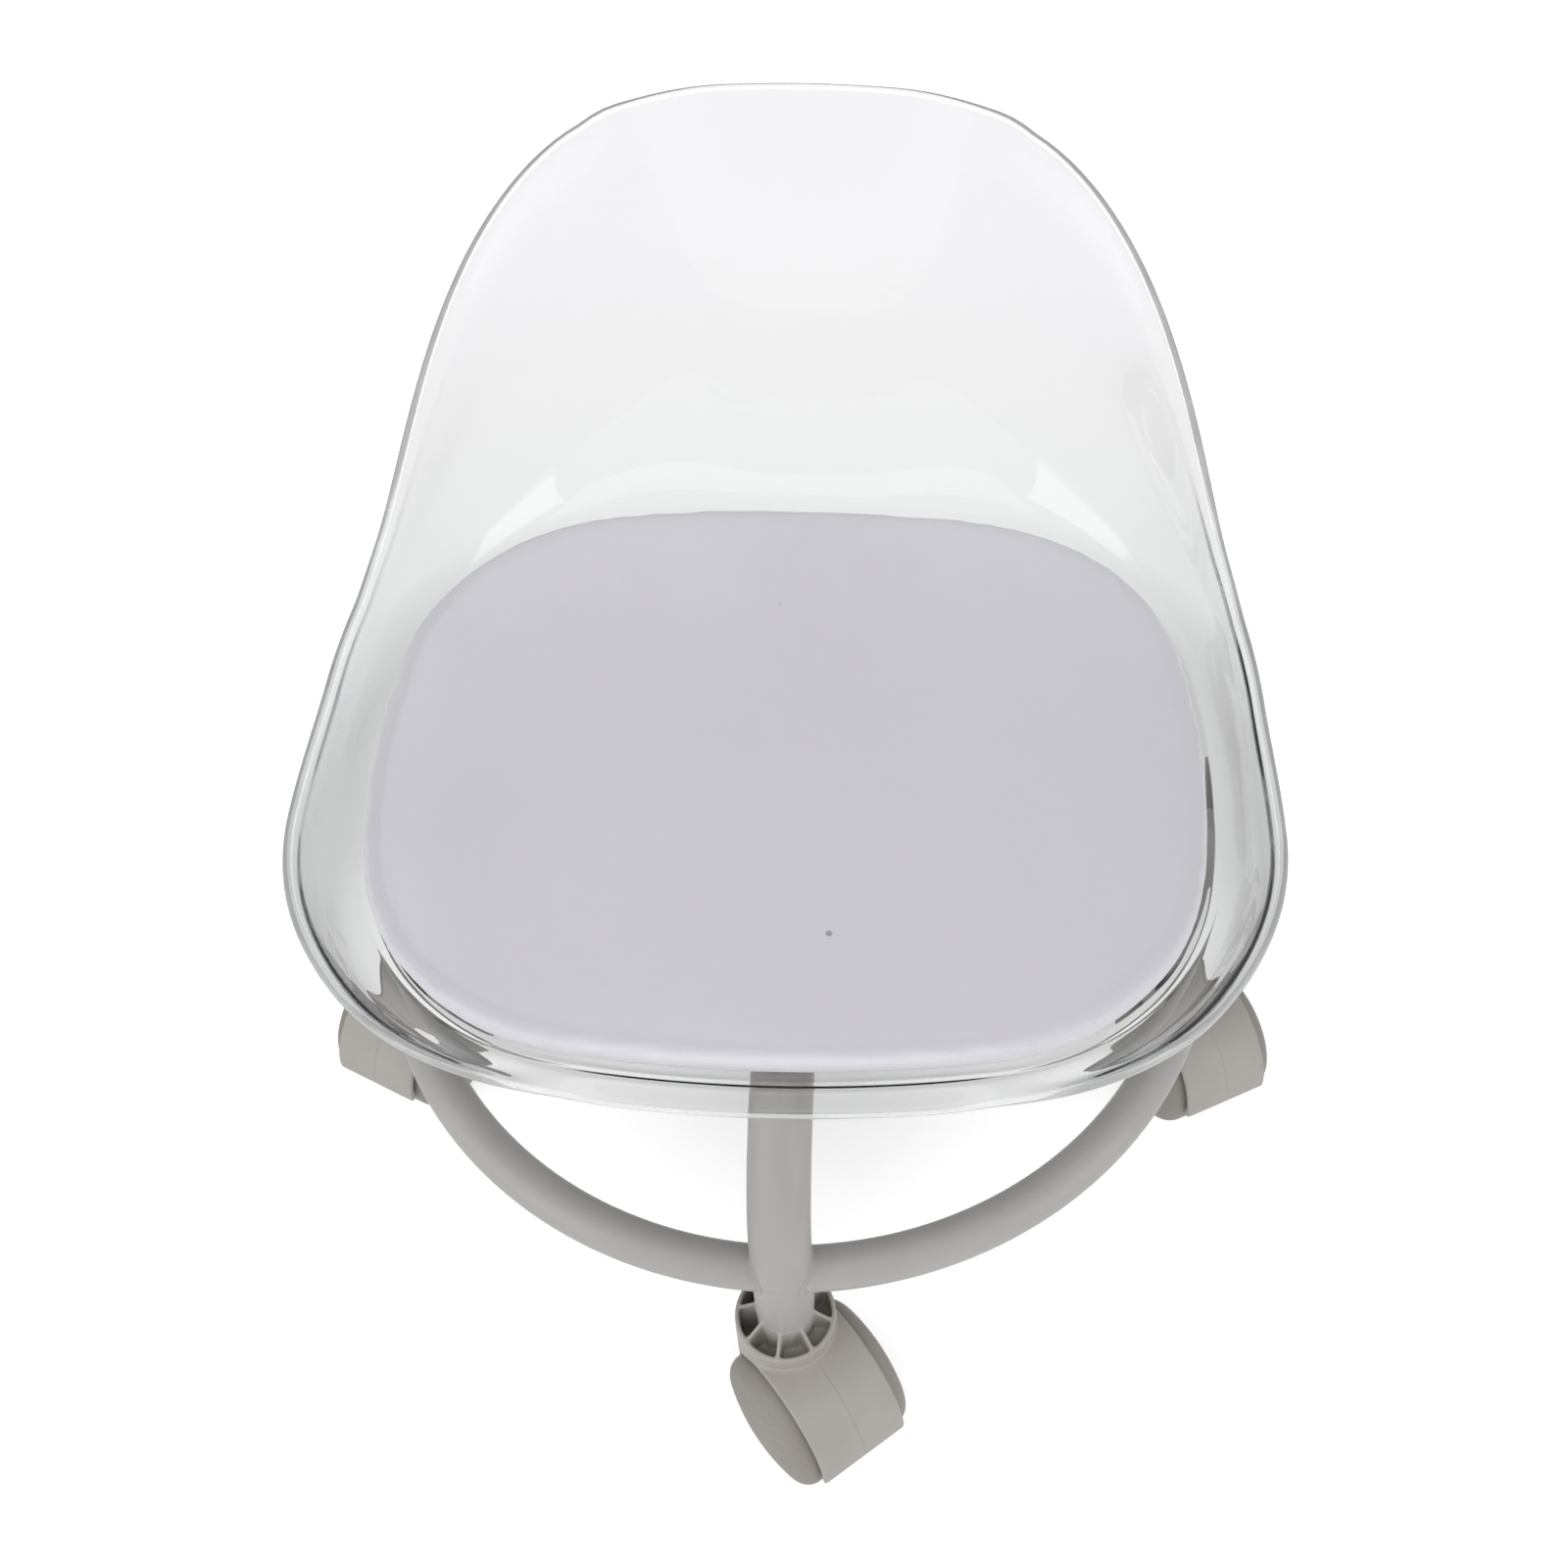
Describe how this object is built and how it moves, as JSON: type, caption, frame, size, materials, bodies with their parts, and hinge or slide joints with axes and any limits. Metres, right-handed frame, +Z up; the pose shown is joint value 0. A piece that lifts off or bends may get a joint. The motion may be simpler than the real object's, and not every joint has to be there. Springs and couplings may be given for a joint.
{
  "type": "rolling stool",
  "caption": "Low rolling stool with a clear moulded bucket seat, a thin seat pad, bent tube legs joined by a ring, and swivelling twin-wheel casters.",
  "frame": {"origin": "on the floor, under the middle of the base ring", "axes": "+Z up; the seat faces -Y, so its backrest is towards +Y; +X is to the right of a viewer facing the stool"},
  "size_m": [0.4508, 0.4746, 0.3978],
  "materials": {
    "clear_shell": "clear, polished",
    "pad_cloth": "fine matte cloth",
    "grey_paint": "satin",
    "bare_steel": "zinc plated",
    "caster_plastic": "fine satin grain",
    "wheel_plastic": "smooth satin",
    "dark_plastic": "matte",
    "black_rubber": "matte"
  },
  "bodies": {
    "stool": {"seat_shell": "clear_shell", "seat_pad": "pad_cloth", "seat_plate": "bare_steel", "centre_hub": "grey_paint", "seat_screws": "bare_steel", "seat_nuts": "bare_steel", "rubber_washers": "black_rubber", "front_leg": "grey_paint", "front_leg_socket": "dark_plastic", "front_caster_stem": "bare_steel", "front_grip_ring": "bare_steel", "front_swivel_washer": "bare_steel", "right_leg": "grey_paint", "right_leg_socket": "dark_plastic", "right_caster_stem": "bare_steel", "right_grip_ring": "bare_steel", "right_swivel_washer": "bare_steel", "back_leg": "grey_paint", "back_leg_socket": "dark_plastic", "back_caster_stem": "bare_steel", "back_grip_ring": "bare_steel", "back_swivel_washer": "bare_steel", "left_leg": "grey_paint", "left_leg_socket": "dark_plastic", "left_caster_stem": "bare_steel", "left_grip_ring": "bare_steel", "left_swivel_washer": "bare_steel", "front_left_ring_arc": "grey_paint", "front_right_ring_arc": "grey_paint", "back_left_ring_arc": "grey_paint", "back_right_ring_arc": "grey_paint"},
    "front_caster": {"front_caster_hood": "caster_plastic", "front_caster_axle": "bare_steel"},
    "front_left_wheel": {"front_caster_left_wheel": "wheel_plastic"},
    "front_right_wheel": {"front_caster_right_wheel": "wheel_plastic"},
    "right_caster": {"right_caster_hood": "caster_plastic", "right_caster_axle": "bare_steel"},
    "right_left_wheel": {"right_caster_left_wheel": "wheel_plastic"},
    "right_right_wheel": {"right_caster_right_wheel": "wheel_plastic"},
    "back_caster": {"back_caster_hood": "caster_plastic", "back_caster_axle": "bare_steel"},
    "back_left_wheel": {"back_caster_left_wheel": "wheel_plastic"},
    "back_right_wheel": {"back_caster_right_wheel": "wheel_plastic"},
    "left_caster": {"left_caster_hood": "caster_plastic", "left_caster_axle": "bare_steel"},
    "left_left_wheel": {"left_caster_left_wheel": "wheel_plastic"},
    "left_right_wheel": {"left_caster_right_wheel": "wheel_plastic"}
  },
  "joints": [
    {"name": "front_caster_swivel", "type": "hinge", "parent": "stool", "child": "front_caster", "pos_m": [0, -0.179, 0.085], "axis": [0, 0, 1], "continuous": true},
    {"name": "front_left_wheel_roll", "type": "hinge", "parent": "front_caster", "child": "front_left_wheel", "pos_m": [0.01348, -0.19638, 0.0315], "axis": [0.7902, 0.6129, 0], "continuous": true},
    {"name": "front_right_wheel_roll", "type": "hinge", "parent": "front_caster", "child": "front_right_wheel", "pos_m": [0.01348, -0.19638, 0.0315], "axis": [0.7902, 0.6129, 0], "continuous": true},
    {"name": "right_caster_swivel", "type": "hinge", "parent": "stool", "child": "right_caster", "pos_m": [0.179, 0, 0.085], "axis": [0, 0, 1], "continuous": true},
    {"name": "right_left_wheel_roll", "type": "hinge", "parent": "right_caster", "child": "right_left_wheel", "pos_m": [0.18864, -0.01977, 0.0315], "axis": [0.8988, 0.4384, 0], "continuous": true},
    {"name": "right_right_wheel_roll", "type": "hinge", "parent": "right_caster", "child": "right_right_wheel", "pos_m": [0.18864, -0.01977, 0.0315], "axis": [0.8988, 0.4384, 0], "continuous": true},
    {"name": "back_caster_swivel", "type": "hinge", "parent": "stool", "child": "back_caster", "pos_m": [0, 0.179, 0.085], "axis": [0, 0, 1], "continuous": true},
    {"name": "back_left_wheel_roll", "type": "hinge", "parent": "back_caster", "child": "back_left_wheel", "pos_m": [-0.01348, 0.19638, 0.0315], "axis": [-0.7902, -0.6129, 0], "continuous": true},
    {"name": "back_right_wheel_roll", "type": "hinge", "parent": "back_caster", "child": "back_right_wheel", "pos_m": [-0.01348, 0.19638, 0.0315], "axis": [-0.7902, -0.6129, 0], "continuous": true},
    {"name": "left_caster_swivel", "type": "hinge", "parent": "stool", "child": "left_caster", "pos_m": [-0.179, 0, 0.085], "axis": [0, 0, 1], "continuous": true},
    {"name": "left_left_wheel_roll", "type": "hinge", "parent": "left_caster", "child": "left_left_wheel", "pos_m": [-0.18864, -0.01977, 0.0315], "axis": [0.8988, -0.4384, 0], "continuous": true},
    {"name": "left_right_wheel_roll", "type": "hinge", "parent": "left_caster", "child": "left_right_wheel", "pos_m": [-0.18864, -0.01977, 0.0315], "axis": [0.8988, -0.4384, 0], "continuous": true}
  ]
}
